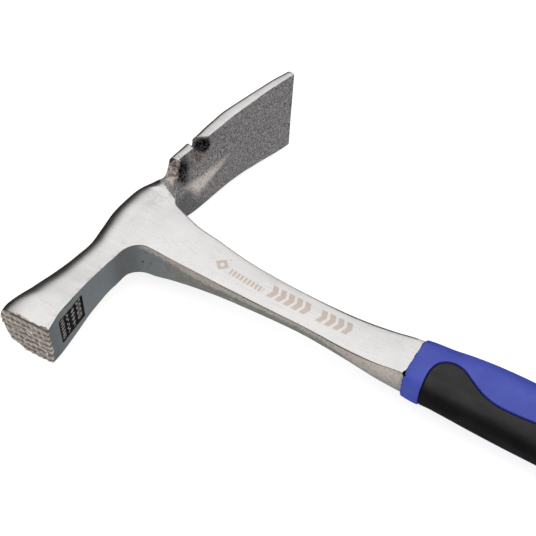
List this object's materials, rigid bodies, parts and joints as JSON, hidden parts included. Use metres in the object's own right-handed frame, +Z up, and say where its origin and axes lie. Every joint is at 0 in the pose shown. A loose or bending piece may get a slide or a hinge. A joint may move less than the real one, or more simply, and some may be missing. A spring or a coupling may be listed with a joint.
{
  "type": "brick hammer",
  "caption": "One-piece forged brick hammer with a waffle striking face, a curved scutch blade with a nail notch, and a two-material moulded grip with a hanging hole.",
  "frame": {"origin": "under the middle of the object as it lies on its side, on the plane of the blade's lower side edge", "axes": "+X along the handle from the head to the butt, +Y from the striking face to the blade's cutting edge, +Z up out of the cheek that carries the nail notch"},
  "size_m": [0.2816, 0.187, 0.0456],
  "materials": {
    "forged_steel": "belt-ground and polished cheeks and head, smooth blue-grey underside, blasted grey blade faces, brown-grey forging skin on the striking face and along the shank's edges",
    "grip_blue": "satin moulded blue plastic with a fine grain",
    "grip_black": "satin black soft rubber with a fine grain"
  },
  "bodies": {
    "root": {"forged_body": "forged_steel", "grip_core": "grip_blue", "grip_cushion": "grip_black"}
  },
  "joints": []
}
